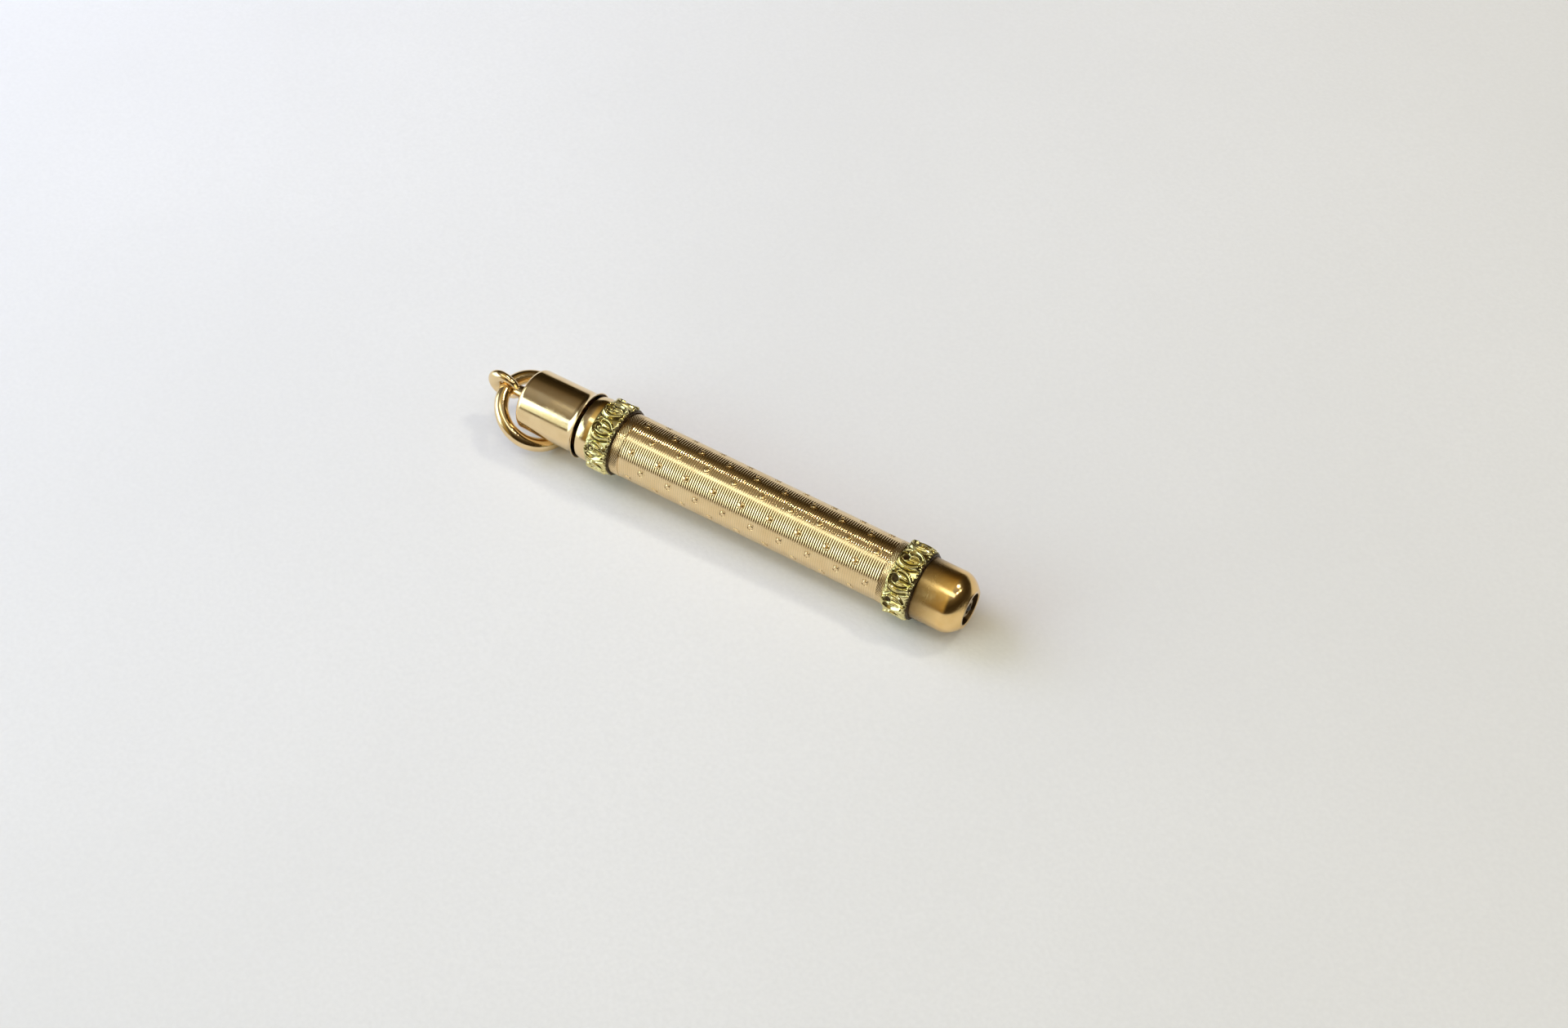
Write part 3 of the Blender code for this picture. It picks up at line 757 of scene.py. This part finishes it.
def gold_finish(name, fresh, worn, shade_and_tarnish_colour, roughness, scratch):
    """Gold with blotches of wear, fine scratches both ways, and painted shade in the hollows and
    gaps, with real tarnish on the bands' nose sides.
    """
    finish = Finish(name)
    blotch = finish.noise(620, detail=4)
    shade_and_tarnish = finish.add("ShaderNodeAttribute", attribute_name="shade_and_tarnish").outputs["Fac"]
    spots = finish.span(finish.noise(2600, detail=5), 0.90, 1.0)
    dark = finish.times(shade_and_tarnish, spots)
    colour = finish.ramp(blotch, (0.32, worn), (0.62, fresh))
    finish.link(finish.mix(dark, colour, shade_and_tarnish_colour), finish.shader.inputs["Base Color"])
    finish.shader.inputs["Metallic"].default_value = 1.0
    along = finish.noise(700, stretch=(1, 11, 11), detail=2, turned=(0, 0, 0.06))
    across = finish.noise(800, stretch=(10, 1.2, 1.2), detail=2, turned=(0, 0.1, -0.35))
    lines = finish.sum(finish.ramp(along, (0.44, 0.0), (0.5, 0.7), (0.56, 0.0)),
                       finish.ramp(across, (0.44, 0.0), (0.5, 1.0), (0.56, 0.0)))
    marks = finish.times(lines, finish.span(finish.noise(480, detail=3), 0.0, 1.0, 0.48, 0.66))
    low, high = roughness
    worn_rough = finish.span(blotch, high, low)
    finish.link(finish.sum(worn_rough, finish.span(dark, 0.0, 0.25, 0, 1)),
                finish.shader.inputs["Roughness"])
    finish.bump(marks, scratch)
    return finish.material


ROSE_GOLD = gold_finish("rose_gold", (0.86, 0.66, 0.37), (0.81, 0.60, 0.32), (0.035, 0.014, 0.005),
                        (0.10, 0.17), 1.3e-6)
NOSE_GOLD = gold_finish("nose_gold", (0.90, 0.63, 0.28), (0.84, 0.56, 0.22), (0.035, 0.014, 0.005),
                        (0.12, 0.20), 2.6e-6)
GREEN_GOLD = gold_finish("green_gold", (0.82, 0.74, 0.38), (0.70, 0.60, 0.24), (0.030, 0.010, 0.005),
                         (0.12, 0.22), 1.0e-6)
INNER_BRASS = gold_finish("inner_brass", (0.78, 0.60, 0.28), (0.60, 0.43, 0.18), (0.10, 0.06, 0.02),
                          (0.26, 0.40), 2.5e-6)
STEEL = gold_finish("ground_steel", (0.56, 0.56, 0.58), (0.42, 0.42, 0.44), (0.10, 0.09, 0.08),
                    (0.28, 0.40), 2.5e-6)


def graphite_finish():
    finish = Finish("graphite")
    grain = finish.noise(9000, detail=4)
    finish.link(finish.ramp(grain, (0.3, 0.03), (0.7, 0.085)), finish.shader.inputs["Base Color"])
    finish.link(finish.span(grain, 0.38, 0.55), finish.shader.inputs["Roughness"])
    finish.bump(grain, 4e-6)
    return finish.material


GRAPHITE = graphite_finish()


def paper_finish():
    finish = Finish("white_paper")
    cloud = finish.noise(14, detail=3)
    fibre = finish.noise(2400, detail=4)
    shade = finish.mix(finish.span(fibre, 0.0, 0.35), finish.ramp(
        cloud, (0.35, (0.855, 0.85, 0.84)), (0.65, (0.895, 0.89, 0.88))), (0.80, 0.795, 0.79))
    finish.link(shade, finish.shader.inputs["Base Color"])
    finish.shader.inputs["Roughness"].default_value = 0.92
    finish.shader.inputs["Specular IOR Level"].default_value = 0.2
    finish.bump(fibre, 25e-6)
    return finish.material


def put(piece, material, slot, body, *nodes):
    """Give a new piece its finish and body, and hide the CAD pieces that it stands for."""
    piece.data.materials.clear()
    piece.data.materials.append(material)
    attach(piece, body)
    if nodes:
        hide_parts(*nodes)


put(engraved_barrel(), ROSE_GOLD, "rose_gold", "barrel", "barrel_tube")
put(hatched_ring("rear_hatching", GROOVES_START - REAR_HATCH - HATCH_OVERLAP, GROOVES_START),
    ROSE_GOLD, "rose_gold", "barrel")
put(hatched_ring("front_hatching", GROOVES_END, GROOVES_END + FRONT_HATCH + HATCH_OVERLAP),
    ROSE_GOLD, "rose_gold", "barrel")
put(punched_dots(), ROSE_GOLD, "rose_gold", "barrel")
put(scroll_band("rear_scrolls", "rear_scroll_band", BAND_SEAT_REAR, math.radians(30), 1.0),
    GREEN_GOLD, "green_gold", "barrel", "rear_scroll_band")
put(scroll_band("front_scrolls", "front_scroll_band", BAND_SEAT_FRONT, math.radians(18), 0.0),
    GREEN_GOLD, "green_gold", "barrel", "front_scroll_band")
put(swelled_collar(), ROSE_GOLD, "rose_gold", "barrel", "mouth_collar")
put(domed_nose(), NOSE_GOLD, "rose_gold", "barrel", "nose")
put(polished_cap(), ROSE_GOLD, "rose_gold", "cap", "cap_shell")
put(eye_washer(), ROSE_GOLD, "rose_gold", "cap", "eye_collar")
put(cap_eye(), ROSE_GOLD, "rose_gold", "cap", "pendant_eye")
put(sliding_tube(), ROSE_GOLD, "rose_gold", "cap", "draw_tube")
put(hanging_ring(), ROSE_GOLD, "rose_gold", "ring", "jump_ring")
put(pencil_nozzle(), ROSE_GOLD, "rose_gold", "point", "nozzle")
put(pencil_lead(), GRAPHITE, "graphite", "point", "lead")

for node in ("guide_tube", "front_bush", "rear_bush", "spiral_tube"):
    frame["nodes"][node].material_slots[0].material = INNER_BRASS
for node in ("thrust_washer", "draw_pin", "carrier_pin"):
    frame["nodes"][node].material_slots[0].material = STEEL
frame["nodes"]["carrier"].material_slots[0].material = ROSE_GOLD

# Camera at the photograph's angle
CAMERA_PLACE = Vector((63.445, -94.205, 152.77)) * MM + Vector((0, 0, AXIS_Z))
CAMERA_RIGHT = Vector((0.8595, 0.5112, 0.0))
CAMERA_UP = Vector((-0.4145, 0.6969, 0.5852))


def photo_camera():
    lens = bpy.data.cameras.new("photo_camera")
    lens.lens = 44.29
    lens.sensor_width = 36
    lens.sensor_fit = "HORIZONTAL"
    lens.clip_start = 0.005
    camera = bpy.data.objects.new("photo_camera", lens)
    back = CAMERA_RIGHT.cross(CAMERA_UP)
    place = Matrix((CAMERA_RIGHT, CAMERA_UP, back)).transposed().to_4x4()
    place.translation = CAMERA_PLACE
    camera.matrix_world = place
    bpy.context.scene.collection.objects.link(camera)
    bpy.context.scene.camera = camera


# Floor, sloped so that the pencil lies on its ring and on its front band
FLOOR_R = 0.8
FLOOR_SIDES = 96
RING_FOOT_X = RING_HINGE.x + 2 * RING_MEAN_R * math.cos(RING_FOLD)
BAND_FOOT_X = 21.5 * MM


def paper_floor():
    band_foot = AXIS_Z - outer_radius("front_scroll_band")
    slope = math.atan2(band_foot, BAND_FOOT_X - RING_FOOT_X)
    deselect()
    bpy.ops.mesh.primitive_circle_add(vertices=FLOOR_SIDES, radius=FLOOR_R, fill_type="TRIFAN",
                                      rotation=(0, -slope, 0))
    floor = bpy.context.object
    floor.name = "paper_floor"
    floor.location.z = -RING_FOOT_X * math.tan(slope) - 0.01 * MM
    bpy.ops.object.transform_apply(location=True, rotation=True, scale=True)
    edit(floor)
    bpy.ops.mesh.subdivide(number_cuts=3)
    bpy.ops.object.mode_set(mode="OBJECT")
    floor.data.materials.append(paper_finish())


# Lights

def soft_light(name, towards, along, distance, size, radiance, colour, shape="RECTANGLE"):
    """A flat lamp that faces the pencil, its first side along a given direction."""
    lamp = bpy.data.lights.new(name, "AREA")
    lamp.shape = shape
    lamp.size, lamp.size_y = size
    lamp.color = colour
    area = size[0] * size[1] * (math.pi / 4 if shape == "DISK" else 1)
    lamp.energy = radiance * math.pi * area
    back = Vector(towards).normalized()
    up = back.cross(Vector(along)).normalized()
    place = Matrix((up.cross(back), up, back)).transposed().to_4x4()
    place.translation = Vector((0, 0, AXIS_Z)) + back * distance
    holder = bpy.data.objects.new(name, lamp)
    holder.matrix_world = place
    bpy.context.scene.collection.objects.link(holder)
    return holder


def studio_lights():
    soft_light("window", (-0.82, -0.43, 0.30), (0.48, -0.88, 0), 0.9, (0.90, 0.60), 2.4,
               (0.86, 1.06, 1.08))
    soft_light("upper_pane", (-0.574, -0.663, 0.482), (0.819, -0.464, 0.337), 0.9, (0.43, 0.21), 1.42,
               (0.79, 1.01, 1.22))
    soft_light("lower_pane", (-0.574, -0.779, 0.253), (0.819, -0.546, 0.177), 0.9, (0.43, 0.26), 0.92,
               (0.89, 1.04, 1.0))
    soft_light("ceiling_strip", (0.091, -0.208, 0.975), (1, 0, 0), 0.766, (0.75, 0.16), 1.95,
               (0.95, 1.0, 0.94))
    soft_light("ceiling_lamp", (0.30, 0.42, 0.86), (1, 0, 0), 1.0, (0.10, 0.10), 50,
               (1.0, 0.95, 0.75), "DISK")
    for number, towards in enumerate(((0.60, 0.30, 0.74), (0.55, 0.05, 0.83))):
        soft_light(f"ceiling_spot_{number}", towards, (0, 1, 0), 1.0, (0.038, 0.038), 86,
                   (1.0, 0.93, 0.80), "DISK")
    paper_lights = (
        soft_light("paper_fill", (-0.30, -0.10, 0.95), (1, 0, 0), 1.1, (1.4, 1.4), 0.39,
                   (1.0, 0.94, 0.93)),
        soft_light("cool_side", (-0.78, 0.04, 0.62), (0, 1, 0), 0.35, (0.20, 0.20), 3.0,
                   (0.80, 0.90, 1.42)))
    for light in paper_lights:
        light.visible_glossy = False


def room_colour(level):
    """Wall colour at a light level: near white where it is lit, brown where it is dark."""
    lit = min(1, level / 0.35)
    return level, level * (0.68 + 0.30 * lit), level * (0.25 + 0.70 * lit), 1


ROOM_WARMTH = (1.95, 1.66, 0.80, 1)
PALE_HORIZON = (0.53, 0.505, 0.46, 1)


def room():
    """A dim room: dark behind the pencil, a little lighter in front, pale along the floor."""
    world = bpy.data.worlds.new("room")
    bpy.context.scene.world = world
    world.use_nodes = True
    tree = world.node_tree
    coords = tree.nodes.new("ShaderNodeTexCoord")
    split = tree.nodes.new("ShaderNodeSeparateXYZ")
    tree.links.new(coords.outputs["Generated"], split.inputs["Vector"])

    def shades(stops):
        ramp = tree.nodes.new("ShaderNodeValToRGB")
        tree.links.new(split.outputs["Z"], ramp.inputs["Fac"])
        elements = ramp.color_ramp.elements
        while len(elements) < len(stops):
            elements.new(0.5)
        for element, (place, level) in zip(elements, stops):
            element.position = place
            element.color = room_colour(level)
        return ramp.outputs["Color"]

    def side(axis, low, high):
        ranged = tree.nodes.new("ShaderNodeMapRange")
        ranged.interpolation_type = "SMOOTHSTEP"
        tree.links.new(split.outputs[axis], ranged.inputs["Value"])
        ranged.inputs["From Min"].default_value = low
        ranged.inputs["From Max"].default_value = high
        return ranged.outputs["Result"]

    def blend(factor, first, second, way="MIX"):
        mixed = tree.nodes.new("ShaderNodeMix")
        mixed.data_type = "RGBA"
        mixed.blend_type = way
        tree.links.new(factor, mixed.inputs["Factor"])
        tree.links.new(first, mixed.inputs["A"])
        if isinstance(second, tuple):
            mixed.inputs["B"].default_value = second
        else:
            tree.links.new(second, mixed.inputs["B"])
        return mixed.outputs["Result"]

    behind = shades(((0.35, 0.020), (0.62, 0.047), (0.72, 0.118), (0.86, 0.195), (0.955, 0.29),
                     (1.0, 0.355)))
    ahead = shades(((0.00, 0.075), (0.12, 0.15), (0.40, 0.22), (0.64, 0.23), (0.75, 0.30),
                    (0.85, 0.39), (1.0, 0.39)))
    left = shades(((0.00, 0.055), (0.25, 0.195), (0.60, 0.28), (1.0, 0.325)))
    right = shades(((0.00, 0.032), (0.50, 0.038), (0.75, 0.108), (0.88, 0.27), (1.0, 0.355)))
    level = blend(side("Y", -0.10, 0.10), ahead, behind)
    level = blend(side("X", -0.45, -0.15), level, ROOM_WARMTH, "MULTIPLY")
    level = blend(side("X", -0.90, -0.70), left, level)
    level = blend(side("X", -0.10, 0.25), level, right)
    level = blend(side("Z", 0.045, 0.022), level, PALE_HORIZON)
    tree.links.new(level, tree.nodes["Background"].inputs["Color"])


photo_camera()
paper_floor()
studio_lights()
room()

bpy.context.scene.view_settings.view_transform = "Standard"
